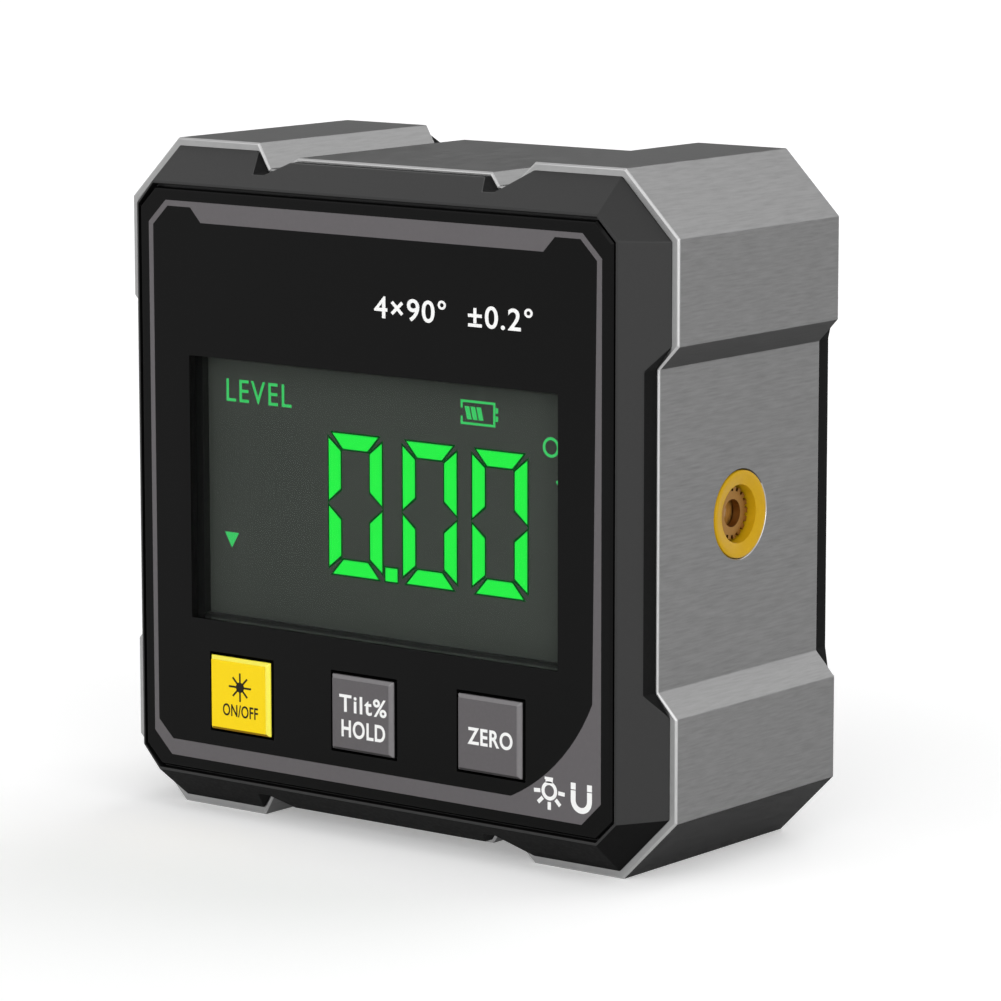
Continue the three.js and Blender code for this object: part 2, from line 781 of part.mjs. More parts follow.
function laserLens() {
  const front = noseFront;
  const back = front - lensThickness;
  const crown = [];
  for (let i = lensSteps; i >= 0; i -= 1) {
    const share = i / lensSteps;
    crown.push([share * lensWidth / 2, front - lensCrown * share * share]);
  }
  return turned([[0, back], [lensWidth / 2, back], ...crown]);
}

function laserBoard() {
  const front = barrelFront - barrelLength;
  const geometry = new THREE.BoxGeometry(laserBoardThickness, laserBoardWidth, laserBoardWidth);
  geometry.translate(front - laserBoardThickness / 2, 0, 0);
  return solid(geometry);
}

function baseMagnet() {
  const low = -bodyHeight / 2 + magnetSunk;
  return post(magnetWidth, low, low + magnetThickness, 0, 0);
}

function material(color, roughness, metalness, options = {}) {
  return new THREE.MeshStandardMaterial({ color, roughness, metalness, ...options });
}

const finishes = {
  brushedAluminium: () => material('#85868a', 0.42, 1),
  blackPlastic: () => material('#1d1d1f', 0.5, 0),
  panelGloss: () => material('#121214', 0.18, 0),
  clearWindow: () => material('#dfe6e4', 0.05, 0, { transparent: true, opacity: 0.3 }),
  displayGlass: () => material('#3c403d', 0.25, 0),
  backlightWhite: () => material('#e6e8e2', 0.6, 0),
  elastomer: () => material('#c9b7b9', 0.8, 0),
  circuitBoard: () => material('#1e5b38', 0.5, 0),
  chipBlack: () => material('#18181a', 0.55, 0),
  yellowButton: () => material('#fbd51e', 0.45, 0),
  greyButton: () => material('#6b6769', 0.5, 0),
  zincSteel: () => material('#b9bcc0', 0.35, 1),
  blackSteel: () => material('#2b2b2e', 0.4, 1),
  leadSleeve: () => material('#8c1f1c', 0.6, 0),
  cellWrap: () => material('#3f6fa8', 0.35, 0),
  nickel: () => material('#c9c9c6', 0.25, 1),
  portYellow: () => material('#d1a116', 0.4, 0),
  brass: () => material('#9a7430', 0.35, 1),
  lensGlass: () => material('#d9c9ce', 0.05, 0, { transparent: true, opacity: 0.5 }),
};

const inclinometer = new THREE.Group();
inclinometer.name = 'inclinometer';
const body = new THREE.Group();
body.position.set(0, (buttonProud + bezelDepth - housingDepth - rearRise) / 2, bodyHeight / 2);
inclinometer.add(body);

function place(name, shape, finish, parent = body) {
  const mesh = new THREE.Mesh(geometryOf(shape), finishes[finish]());
  mesh.name = name;
  parent.add(mesh);
  return mesh;
}

function placeAtCorners(name, shape, finish) {
  cornerSigns.forEach(([signX, signZ], i) => {
    const mesh = place(`${name}_${i + 1}`, shape, finish);
    mesh.position.set(signX * screwAcross, 0, signZ * screwRise);
  });
}

place('housing', housing(), 'brushedAluminium');
[-1, 1].forEach((side, i) => {
  magnetDepths.forEach((depth, j) => {
    const magnet = place(`base_magnet_${2 * i + j + 1}`, baseMagnet(), 'nickel');
    magnet.position.set(side * magnetAcross, depth, 0);
  });
});
place('front_bezel', frontBezel(), 'blackPlastic');
place('front_panel', frontPanel(), 'panelGloss');
place('display_window', displayWindow(), 'clearWindow');
place('display_glass', displayGlass(), 'displayGlass');
place('display_backlight', backlight(), 'backlightWhite');
place('zebra_strip_upper', zebraStrip(1), 'elastomer');
place('zebra_strip_lower', zebraStrip(-1), 'elastomer');
placeAtCorners('bezel_screw', cornerScrew(panelBack + fitGap, 1), 'blackSteel');

place('main_board', mainBoard(), 'circuitBoard');
boardBosses().forEach(([x, z], i) => {
  place(`board_screw_${i + 1}`, boardScrew(), 'zincSteel').position.set(x, 0, z);
});
const processorBack = boardBack + processorThickness;
const processor = box(processorWidth, boardBack, processorBack, processorWidth,
  processorPlace.across, processorPlace.rise);
place('processor', processor, 'chipBlack');
const tiltSensorBack = boardBack + tiltSensorThickness;
const tiltSensor = box(tiltSensorWidth, boardBack, tiltSensorBack, tiltSensorWidth,
  tiltSensorPlace.across, tiltSensorPlace.rise);
place('tilt_sensor', tiltSensor, 'chipBlack');

const controls = ['on_off', 'hold', 'zero'];
controls.forEach((control, i) => {
  const station = new THREE.Group();
  station.position.set(buttonPlaces[i], 0, buttonRise);
  body.add(station);
  place(`${control}_button`, button(), i === 0 ? 'yellowButton' : 'greyButton', station);
  place(`${control}_switch_stem`, switchStem(), 'greyButton', station);
  place(`${control}_switch`, switchBody(), 'chipBlack', station);
});

place('rear_cover', rearCover(), 'blackPlastic');
place('battery_door', batteryDoor(), 'blackPlastic');
placeAtCorners('rear_screw', cornerScrew(rearFace - fitGap, -1), 'blackSteel');

for (const [side, word] of [[-1, 'left'], [1, 'right']]) {
  const bay = new THREE.Group();
  bay.position.set(side * cellSpacing / 2, cellDepth, 0);
  body.add(bay);
  place(`battery_cell_${word}`, batteryCell(side), 'cellWrap', bay);
  const springSeat = (cellLength + springRoom) / 2;
  const spring = place(`battery_spring_${word}`, batterySpring(side), 'nickel', bay);
  spring.position.z = side * springSeat;
  place(`upper_contact_${word}`, tabbedContact(), 'nickel', bay).position.z = contactRise;
  place(`battery_lead_${word}`, batteryLead(side), 'leadSleeve');

  const port = new THREE.Group();
  port.position.set(side * sideFloor, midDepth, 0);
  if (side < 0) port.rotation.z = Math.PI;
  body.add(port);
  place(`laser_port_ring_${word}`, portRing(), 'portYellow', port);
  place(`laser_barrel_${word}`, laserBarrel(), 'brass', port);
  place(`laser_aperture_${word}`, apertureRing(), 'brass', port);
  place(`laser_lens_${word}`, laserLens(), 'lensGlass', port);
  place(`laser_board_${word}`, laserBoard(), 'circuitBoard', port);
  place(`laser_lead_${word}`, laserLead(side), 'leadSleeve');
}

const linkPlate = place('lower_link_contact', contactPlate(cellSpacing + contactWidth), 'nickel');
linkPlate.position.set(0, cellDepth, -contactRise);

console.log(`least gap between spring turns ${springGap().toFixed(2)} mm`);

export default inclinometer;
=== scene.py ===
import math

import bmesh
import bpy
from mathutils import Matrix, Vector


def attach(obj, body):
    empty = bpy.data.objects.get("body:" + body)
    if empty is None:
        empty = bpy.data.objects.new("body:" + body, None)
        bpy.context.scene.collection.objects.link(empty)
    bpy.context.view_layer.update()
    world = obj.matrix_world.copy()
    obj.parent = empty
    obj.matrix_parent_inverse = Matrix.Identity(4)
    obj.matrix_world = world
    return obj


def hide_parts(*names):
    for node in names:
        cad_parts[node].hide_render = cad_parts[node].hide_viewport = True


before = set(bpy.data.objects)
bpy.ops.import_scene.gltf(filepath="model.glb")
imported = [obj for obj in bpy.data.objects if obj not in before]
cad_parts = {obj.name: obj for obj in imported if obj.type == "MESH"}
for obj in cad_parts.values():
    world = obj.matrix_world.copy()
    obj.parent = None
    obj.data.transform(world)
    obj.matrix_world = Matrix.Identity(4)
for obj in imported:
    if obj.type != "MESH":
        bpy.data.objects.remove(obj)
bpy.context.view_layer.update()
print("frame loaded,", len(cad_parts), "nodes")

mm = 0.001
# Points closer than this are one point
hair = 0.001
deviceOrigin = Vector((0, -11.25, 30))


def at(x, y, z):
    return (Vector((x, y, z)) + deviceOrigin) * mm


# Colours and nodes

def linear(hexColour):
    parts = [int(hexColour[i:i + 2], 16) / 255 for i in (1, 3, 5)]
    return [p / 12.92 if p <= 0.04045 else ((p + 0.055) / 1.055) ** 2.4 for p in parts] + [1]


def addNode(tree, kind, inputs=None, **settings):
    node = tree.nodes.new("ShaderNode" + kind)
    for setting, value in settings.items():
        setattr(node, setting, value)
    for socket, value in (inputs or {}).items():
        if isinstance(value, bpy.types.NodeSocket):
            tree.links.new(value, node.inputs[socket])
        else:
            node.inputs[socket].default_value = value
    return node


def newMaterial(name, values=None):
    material = bpy.data.materials.new(name)
    material.use_nodes = True
    shader = material.node_tree.nodes["Principled BSDF"]
    for socket, value in (values or {}).items():
        shader.inputs[socket].default_value = value
    return material, material.node_tree, shader


def grained(name, colours, roughness, grain, relief, values=None, detail=3):
    # Two close colours, a roughness range and a fine relief, all from one noise whose
    # grain is given in millimetres along x, y and z
    material, tree, shader = newMaterial(name, values)
    place = addNode(tree, "TexCoord")
    sized = addNode(tree, "Mapping", {
        "Vector": place.outputs["Object"],
        "Scale": [1 / (size * mm) for size in grain],
    })
    noise = addNode(tree, "TexNoise", {
        "Vector": sized.outputs["Vector"], "Scale": 1, "Detail": detail, "Roughness": 0.6,
    })
    tone = addNode(tree, "Mix", {
        0: noise.outputs["Fac"], 6: linear(colours[0]), 7: linear(colours[1]),
    }, data_type="RGBA")
    gloss = addNode(tree, "MapRange", {
        "Value": noise.outputs["Fac"], "From Min": 0.3, "From Max": 0.7,
        "To Min": roughness[0], "To Max": roughness[1],
    })
    bump = addNode(tree, "Bump", {
        "Height": noise.outputs["Fac"], "Strength": 1, "Distance": relief * mm,
    })
    tree.links.new(tone.outputs[2], shader.inputs["Base Color"])
    tree.links.new(gloss.outputs["Result"], shader.inputs["Roughness"])
    tree.links.new(bump.outputs["Normal"], shader.inputs["Normal"])
    return material


# Finishes

# Extruded aluminium, brushed along the depth and anodised grey: satin, with short fine streaks,
# and darker where it is seen along its surface, through more of the dyed film
brushedAluminium = grained(
    "brushed_aluminium", ("#6a6a6a", "#969696"), (0.34, 0.48), (0.2, 2.4, 0.2), 0.002,
    {"Metallic": 1, "Specular Tint": linear("#6e6e6e")}, detail=5)

# A darker copy of the brushed aluminium for its slanting facets that face down: fainter streaks and
# a narrower, darker range of tones, the darkness being painted shade
shadedSlantAluminium = grained(
    "brushed_aluminium_painted_shade", ("#6a6a6a", "#6e6e6e"), (0.38, 0.46), (0.2, 2.4, 0.2), 0.0004,
    {"Metallic": 1, "Specular Tint": linear("#6e6e6e")}, detail=5)

# The sawn and milled end faces of the extrusion: paler, without streaks
milledAluminium = grained(
    "milled_aluminium", ("#949494", "#a2a2a2"), (0.3, 0.4), (0.8, 0.8, 0.8), 0.001,
    {"Metallic": 1})

# The cut edge chamfers: bare bright aluminium
cutAluminium = grained(
    "cut_aluminium", ("#a4a4a4", "#b0b0b0"), (0.3, 0.38), (1.5, 1.5, 1.5), 0.001,
    {"Metallic": 1})

# Nickel plating of the magnets, contacts, springs and cell ends: bright with a faint mottle
nickelPlate = grained(
    "nickel_plate", ("#c4c3bd", "#d2d1cb"), (0.16, 0.26), (1.2, 1.2, 1.2), 0.001, {"Metallic": 1})

# ABS moulded in a spark-eroded tool: near black, a fine matt grain
blackAbs = grained(
    "black_abs", ("#1a1a1a", "#222222"), (0.38, 0.48), (0.22, 0.22, 0.22), 0.003,
    {"Specular IOR Level": 0.32})

# A darker, duller black with a coarser grain: the insides of the black mouldings, and painted
# shade on the bezel's walls along the depth and lower slopes, the rear cover's sides and the keys'
# walls
roughAbsAndShade = grained(
    "rough_black_abs_and_painted_shade", ("#0b0b0b", "#101010"), (0.6, 0.72), (0.4, 0.4, 0.4), 0.008,
    {"Specular IOR Level": 0.05})

# Acrylic sheet, polished: deep black, smooth, with a slight waviness
panelAcrylic = grained(
    "panel_acrylic", ("#060606", "#090909"), (0.12, 0.16), (9, 9, 9), 0.002,
    {"Specular IOR Level": 0.09})

# Liquid crystal glass seen through its polariser: dull olive grey
displayGrey = grained(
    "display_polariser", ("#464946", "#505250"), (0.5, 0.56), (30, 4, 16), 0.0001,
    {"Specular IOR Level": 0.05}, detail=1)

# Light guide, moulded white polycarbonate
lightGuide = grained(
    "light_guide", ("#dfe1dc", "#e9eae6"), (0.5, 0.6), (0.5, 0.5, 0.5), 0.004)

# Zinc-plated steel screws: bright, slightly blue
zincSteel = grained(
    "zinc_plated_steel", ("#a9acb0", "#bcbfc3"), (0.28, 0.42), (0.4, 0.4, 0.4), 0.003,
    {"Metallic": 1})

# Black-oxide steel screws: dark, oily sheen
blackSteel = grained(
    "black_oxide_steel", ("#232326", "#303034"), (0.34, 0.5), (0.35, 0.35, 0.35), 0.004,
    {"Metallic": 1})

# Moulded epoxy chip housings: matt charcoal
chipEpoxy = grained(
    "chip_epoxy", ("#161617", "#1f1f20"), (0.55, 0.7), (0.12, 0.12, 0.12), 0.006)

# Moulded ABS keys: an even colour with a soft sheen on the face; glossier chamfers above and at
# the sides painted paler as a painted highlight, and a matt lower chamfer painted darker as painted
# shade
yellowKey = grained(
    "yellow_key_abs", ("#f9d506", "#fddb10"), (0.38, 0.46), (0.3, 0.3, 0.3), 0.003,
    {"Specular IOR Level": 0.17})
yellowHighlightEdge = grained(
    "yellow_key_gloss_painted_highlight_abs", ("#fff030", "#fff648"), (0.16, 0.24), (0.3, 0.3, 0.3), 0.001,
    {"Specular IOR Level": 0.8})
yellowShadedUnder = grained(
    "yellow_key_matt_painted_shade_abs", ("#9c760a", "#a88012"), (0.6, 0.7), (0.3, 0.3, 0.3), 0.004,
    {"Specular IOR Level": 0.1})
greyKey = grained(
    "grey_key_abs", ("#5b585a", "#646163"), (0.38, 0.46), (0.3, 0.3, 0.3), 0.003,
    {"Specular IOR Level": 0.17})
greyHighlightEdge = grained(
    "grey_key_gloss_painted_highlight_abs", ("#6a6769", "#737072"), (0.16, 0.24), (0.3, 0.3, 0.3), 0.001,
    {"Specular IOR Level": 0.8})
greyShadedUnder = grained(
    "grey_key_matt_painted_shade_abs", ("#3e3c3d", "#464445"), (0.6, 0.7), (0.3, 0.3, 0.3), 0.004,
    {"Specular IOR Level": 0.1})

# Shrink sleeve of the cells: glossy, plain blue
cellSleeve = grained(
    "cell_shrink_sleeve", ("#3465a0", "#3f72ae"), (0.2, 0.3), (3, 3, 3), 0.003)

# Moulded port ring of yellow polycarbonate: warm, half-gloss
portYellow = grained(
    "port_ring_polycarbonate", ("#bc920c", "#c69c12"), (0.3, 0.42), (0.5, 0.5, 0.5), 0.004,
    {"Specular IOR Level": 0.15})

# Turned brass of the laser barrel and its aperture ring, with fine tool rings
turnedBrass = grained(
    "turned_brass", ("#8c6632", "#9c7440"), (0.32, 0.48), (0.15, 6, 6), 0.003, {"Metallic": 1})

# Red PVC sleeve of the leads
leadSleeve = grained(
    "lead_sleeve_pvc", ("#8c1f1c", "#9c2723"), (0.42, 0.55), (0.4, 0.4, 0.4), 0.006)

# Screen inks: matt and slightly uneven
greyInk = grained("grey_ink", ("#5e5b5d", "#656264"), (0.5, 0.62), (0.4, 0.4, 0.4), 0.002,
                  {"Specular IOR Level": 0.15})
whiteInk = grained("white_ink", ("#f2f2f1", "#fafaf9"), (0.5, 0.6), (0.3, 0.3, 0.3), 0.002)
darkInk = grained("dark_ink", ("#17130a", "#1f1a10"), (0.5, 0.6), (0.3, 0.3, 0.3), 0.002,
                  {"Specular IOR Level": 0.15})


def litSegments(name, colour, edgeColour, strength, unlit):
    # Liquid crystal segments lit from behind: they glow evenly, a little mottled
    material, tree, shader = newMaterial(name, {
        "Roughness": 0.5, "Specular IOR Level": 0.05, "Emission Strength": strength,
    })
    place = addNode(tree, "TexCoord")
    noise = addNode(tree, "TexNoise", {
        "Vector": place.outputs["Object"], "Scale": 1 / (1.5 * mm), "Detail": 2,
    })
    tone = addNode(tree, "Mix", {
        0: noise.outputs["Fac"], 6: linear(colour), 7: linear(edgeColour),
    }, data_type="RGBA")
    shader.inputs["Base Color"].default_value = linear(unlit)
    tree.links.new(tone.outputs[2], shader.inputs["Emission Color"])
    return material


litGreen = litSegments("lit_segments", "#22fa47", "#26ff4e", 1.0, "#0b2a10")
dimGreen = litSegments("dim_segments", "#024618", "#044a1c", 1.0, "#030a05")
markGreen = litSegments("lit_marks", "#3fd76c", "#4ce07a", 0.9, "#0b2a10")


def clearPane():
    # Clear acrylic with a coat against reflections, thin enough that nothing behind it shifts:
    # only a faint gloss is seen
    material, tree, shader = newMaterial("clear_pane", {"Roughness": 0.06})
    place = addNode(tree, "TexCoord")
    waves = addNode(tree, "TexNoise", {
        "Vector": place.outputs["Object"], "Scale": 1 / (12 * mm), "Detail": 1,
    })
    bump = addNode(tree, "Bump", {"Height": waves.outputs["Fac"], "Distance": 0.004 * mm})
    clear = addNode(tree, "BsdfTransparent", {"Color": linear("#f4f6f4")})
    shine = addNode(tree, "BsdfGlossy", {"Roughness": 0.06, "Normal": bump.outputs["Normal"]})
    share = addNode(tree, "Fresnel", {"IOR": 1.1, "Normal": bump.outputs["Normal"]})
    mixed = addNode(tree, "MixShader", {
        "Fac": share.outputs["Fac"], 1: clear.outputs["BSDF"], 2: shine.outputs["BSDF"],
    })
    output = tree.nodes["Material Output"]
    tree.links.new(mixed.outputs["Shader"], output.inputs["Surface"])
    tree.nodes.remove(shader)
    return material


clearAcrylic = clearPane()

# Laser lens: amber filter glass
lensGlass = grained(
    "amber_lens_glass", ("#b07c38", "#bc8844"), (0.05, 0.1), (4, 4, 4), 0.0005,
    {"Transmission Weight": 0.3, "IOR": 1.5})


def circuitBoard():
    # Glass-epoxy board under green solder mask: copper tracks show through as paler lines
    material, tree, shader = newMaterial("circuit_board", {"Roughness": 0.35})
    place = addNode(tree, "TexCoord")
    tracks = addNode(tree, "TexBrick", {
        "Vector": place.outputs["Object"], "Color1": linear("#1b5a36"), "Color2": linear("#18502f"),
        "Mortar": linear("#3f8a56"), "Scale": 1 / (4 * mm), "Mortar Size": 0.05,
    })
    tree.links.new(tracks.outputs["Color"], shader.inputs["Base Color"])
    return material


def zebraRubber(stripe=0.8):
    # Elastomer strip of carbon and silicone layers: fine stripes, drawn wide enough to show.
    # The bands of a wave repeat every pi / 10 at scale 1.
    material, tree, shader = newMaterial("zebra_rubber", {"Roughness": 0.7})
    place = addNode(tree, "TexCoord")
    layers = addNode(tree, "TexWave", {
        "Vector": place.outputs["Object"], "Scale": math.pi / (10 * stripe * mm),
    }, bands_direction="X")
    tone = addNode(tree, "Mix", {
        0: layers.outputs["Fac"], 6: linear("#4c4648"), 7: linear("#cfbfc1"),
    }, data_type="RGBA")
    tree.links.new(tone.outputs[2], shader.inputs["Base Color"])
    return material


boardMask = circuitBoard()
zebraStripes = zebraRubber()
print("materials ready")


# The CAD nodes get their finish on the object's slots, also those that are replaced below

finishOf = {
    "base_magnet": nickelPlate, "display_glass": displayGrey, "display_backlight": lightGuide,
    "zebra_strip": zebraStripes, "bezel_screw": blackSteel, "rear_screw": blackSteel,
    "board_screw": zincSteel, "main_board": boardMask, "laser_board": boardMask,
    "processor": chipEpoxy, "tilt_sensor": chipEpoxy, "battery_cell": cellSleeve,
    "battery_spring": nickelPlate, "upper_contact": nickelPlate, "lower_link_contact": nickelPlate,
    "battery_lead": leadSleeve, "laser_lead": leadSleeve, "laser_barrel": turnedBrass,
    "laser_aperture": turnedBrass, "laser_lens": lensGlass,
    "on_off_switch": chipEpoxy, "hold_switch": chipEpoxy, "zero_switch": chipEpoxy,
    "on_off_switch_stem": greyKey, "hold_switch_stem": greyKey, "zero_switch_stem": greyKey,
    "housing": brushedAluminium, "front_bezel": blackAbs, "front_panel": panelAcrylic,
    "display_window": clearAcrylic, "on_off_button": yellowKey, "hold_button": greyKey,
    "zero_button": greyKey, "rear_cover": roughAbsAndShade, "battery_door": roughAbsAndShade,
    "laser_port_ring": portYellow,
}

for nodeName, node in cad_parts.items():
    known = [stem for stem in finishOf if nodeName.startswith(stem)]
    for slot in node.material_slots:
        slot.link = "OBJECT"
        slot.material = finishOf[max(known, key=len)]


# Finished pieces

def finishPiece(shape, name, materials, body, slotName, smoothAngle=35, flatArea=1000):
    # Edges sharper than smoothAngle degrees and faces above flatArea square mm stay crisp
    mesh = bpy.data.meshes.new(name)
    shape.to_mesh(mesh)
    shape.free()
    for material in materials if isinstance(materials, list) else [materials]:
        mesh.materials.append(material)
    mesh.shade_smooth()
    mesh.set_sharp_from_angle(angle=math.radians(smoothAngle))
    for face in mesh.polygons:
        face.use_smooth = face.area < flatArea * mm ** 2
    piece = bpy.data.objects.new(name, mesh)
    bpy.context.scene.collection.objects.link(piece)
    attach(piece, body)
    return piece


# What is welded in a copy, which facets count as one face, and which edges are rounded
dressing = {"weld": 0.002, "flatAngle": 0.4, "sharpAngle": 15}


def dressedCopy(nodeName, pieceName, material, body, slotName, edge, wanted, segments=2,
                adjust=None, prepare=None, smoothness=(12, 2)):
    # A copy of a node with its facets joined and its wanted edges rounded by edge mm
    shape = bmesh.new()
    shape.from_mesh(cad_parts[nodeName].data)
    bmesh.ops.remove_doubles(shape, verts=shape.verts, dist=dressing["weld"] * mm)
    bmesh.ops.dissolve_limit(shape, angle_limit=math.radians(dressing["flatAngle"]),
                             verts=shape.verts, edges=shape.edges)
    bmesh.ops.recalc_face_normals(shape, faces=shape.faces)
    if prepare:
        prepare(shape)
    sharp = [e for e in shape.edges
             if e.is_manifold and e.calc_face_angle(0) > math.radians(dressing["sharpAngle"])
             and wanted(*[(v.co / mm - deviceOrigin) for v in e.verts])]
    bmesh.ops.bevel(shape, geom=sharp, offset=edge * mm, offset_type="OFFSET", affect="EDGES",
                    segments=segments, profile=0.5, material=-1, clamp_overlap=True)
    if adjust:
        adjust(shape)
    piece = finishPiece(shape, pieceName, material, body, slotName, *smoothness)
    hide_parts(nodeName)


def beyond(place, half, corner):
    # Whether a place lies outside an octagon, given by its half width and by the sum of x and
    # z along its corners
    return max(abs(place.x), abs(place.z)) > half or abs(place.x) + abs(place.z) > corner


def everyEdge(first, second):
    return True


# The laser ports in the housing: their place, the hole and its countersink. Faces of the
# countersink lie within rimReach of the port's axis, all its other edges within around.
portPlace = {
    "floor": 28.05, "depth": 11.8, "holeRadius": 3.82, "chamfer": 0.1, "rimReach": 4.1,
    "rimNormal": (0.4, 0.9), "around": 5.477,
}


def fromPort(place):
    return math.hypot(place.y - portPlace["depth"], place.z)


# The end chamfers lie that far from the middle of the depth, on the side and on the end face.
# The finishes are told apart by the normals of the faces.
housingShape = {
    "edge": 0.04, "outside": (27.4, 50), "ends": (0.3, 23.3), "slantAcross": 20,
    "slantNormal": 0.4, "endNormal": 0.93, "chamferNormal": 0.35,
    "middle": 11.8, "chamferFace": 11.79, "chamferSide": (11.5, 11.6), "narrower": 0.4,
    "recess": (28, 28.2), "recessHalf": 14, "narrowerInRecess": 0.5,
}


def ofOutside(first, second):
    # Edges of the outer shape, not those of the cavity, the screw holes or the ports
    if all(fromPort(p) < portPlace["around"] for p in (first, second)):
        return False
    return all(beyond(p, *housingShape["outside"]) for p in (first, second))


def narrowEnds(shape):
    # The chamfers of both ends are drawn narrower, by a share of their width
    def fromMiddle(vertex):
        return abs(vertex.co.y / mm - deviceOrigin.y - housingShape["middle"])
    low, high = housingShape["chamferSide"]
    inner, outer = housingShape["recess"]
    moves = {}
    for edge in shape.edges:
        side, face = sorted(edge.verts, key=fromMiddle)
        if fromMiddle(face) <= housingShape["chamferFace"] or not low < fromMiddle(side) < high:
            continue
        place = side.co / mm - deviceOrigin
        inRecess = inner < abs(place.x) < outer and abs(place.z) < housingShape["recessHalf"]
        step = (side.co - face.co) * housingShape["narrowerInRecess" if inRecess else "narrower"]
        moves[face] = Vector((step.x, 0, step.z))
        moves[side] = Vector((0, -step.y, 0))
    for vertex, step in moves.items():
        vertex.co += step
    shape.normal_update()


def markEnds(shape):
    # The laser ports are countersunk a little. End faces and chamfers have their own finishes;
    # the slanting facets that face down get the darker aluminium, painted shade.
    def onRim(vertex):
        place = vertex.co / mm - deviceOrigin
        return (abs(abs(place.x) - portPlace["floor"]) < 0.02
                and abs(fromPort(place) - portPlace["holeRadius"]) < 0.05)
    rims = [e for e in shape.edges if onRim(e.verts[0]) and onRim(e.verts[1])]
    bmesh.ops.bevel(shape, geom=rims, offset=portPlace["chamfer"] * mm, offset_type="OFFSET",
                    affect="EDGES", segments=1, profile=0.5, material=-1)
    shape.normal_update()
    front, back = housingShape["ends"]
    least, most = portPlace["rimNormal"]
    slant = housingShape["slantNormal"]
    for face in shape.faces:
        place = face.calc_center_median() / mm - deviceOrigin
        if fromPort(place) < portPlace["rimReach"] and least < abs(face.normal.x) < most:
            face.material_index = 2
        if front < place.y < back:
            # Slanting facets that face down: the darker aluminium, painted shade
            if (face.normal.z < -slant and abs(face.normal.x) > slant
                    and abs(place.x) > housingShape["slantAcross"]):
                face.material_index = 3
        elif abs(face.normal.y) > housingShape["endNormal"]:
            face.material_index = 1
        elif abs(face.normal.y) > housingShape["chamferNormal"]:
            face.material_index = 2


dressedCopy("housing", "housing_shell",
            [brushedAluminium, milledAluminium, cutAluminium, shadedSlantAluminium], "instrument",
            "housing_aluminium", housingShape["edge"], ofOutside, 1, markEnds, narrowEnds)


# The left part of the lip and the walls in the side recesses are moved a little
bezelShape = {
    "edge": 0.08, "outside": (25.9, 49.2), "root": 0.1, "shadeOutside": (26, 49),
    "alongNormal": 0.1, "lowerNormal": -0.3,
    "leftLip": (-26.25, -3.3), "leftLipIn": 0.2,
    "recess": (27.5, 27.95), "recessHalf": 14.3, "recessOut": 0.12,
    "recessFront": -1, "recessBack": 0.15,
}


def ofFace(first, second):
    # Edges on the outer skin of the bezel: lip, slopes and root
    return all(p.y < bezelShape["root"] and beyond(p, *bezelShape["outside"])
               for p in (first, second))


def finishBezel(shape):
    # On the left the slope leans in a little more, so that the aluminium shows beside it. In
    # the side recesses it stands out a little, so that only a thin line of aluminium shows.
    # The walls that run along the depth and the lower slopes get the darker, duller black: painted
    # shade.
    lipAcross, lipFront = bezelShape["leftLip"]
    inner, outer = bezelShape["recess"]
    for vertex in shape.verts:
        place = vertex.co / mm - deviceOrigin
        if place.x < lipAcross and place.y < lipFront:
            vertex.co.x += bezelShape["leftLipIn"] * mm
        if inner < abs(place.x) < outer and abs(place.z) < bezelShape["recessHalf"]:
            vertex.co.x += math.copysign(bezelShape["recessOut"] * mm, place.x)
            if place.y < bezelShape["recessFront"]:
                vertex.co.y += bezelShape["recessBack"] * mm
    shape.normal_update()
    for face in shape.faces:
        place = face.calc_center_median() / mm - deviceOrigin
        # Faces that get the darker, duller black, as painted shade
        dull = (abs(face.normal.y) < bezelShape["alongNormal"]
                or face.normal.z < bezelShape["lowerNormal"])
        if dull and beyond(place, *bezelShape["shadeOutside"]):
            face.material_index = 1


dressedCopy("front_bezel", "bezel_frame", [blackAbs, roughAbsAndShade], "instrument", "black_plastic",
            bezelShape["edge"], ofFace, adjust=finishBezel)
dressedCopy("front_panel", "panel_plate", panelAcrylic, "instrument", "panel_gloss", 0.03,
            everyEdge)


rearShape = {
    "edge": 0.1, "doorEdge": 0.08, "outside": (26, 49.2), "front": 23.5, "skin": 24.5,
    "skinNormal": 0.3,
}


def ofRear(first, second):
    return all(p.y > rearShape["front"] and beyond(p, *rearShape["outside"])
               for p in (first, second))


def finishRear(shape):
    # Seen from behind, the rear cover and the door have the finer grain of the bezel; their other
    # faces keep the darker, duller black, painted shade where they show from the front
    shape.normal_update()
    for face in shape.faces:
        depth = face.calc_center_median().y / mm - deviceOrigin.y
        if face.normal.y > rearShape["skinNormal"] and depth > rearShape["skin"]:
            face.material_index = 1


dressedCopy("rear_cover", "rear_shell", [roughAbsAndShade, blackAbs], "instrument", "black_plastic",
            rearShape["edge"], ofRear, adjust=finishRear)
dressedCopy("battery_door", "door_plate", [roughAbsAndShade, blackAbs], "door", "black_plastic",
            rearShape["doorEdge"], everyEdge, adjust=finishRear)


inkDepth = 0.02
keyShape = {
    "edge": 0.05, "face": -4.09, "wider": 0.15, "faceNormal": -0.95, "wallNormal": 0.3,
    "lowerNormal": -0.5,
}


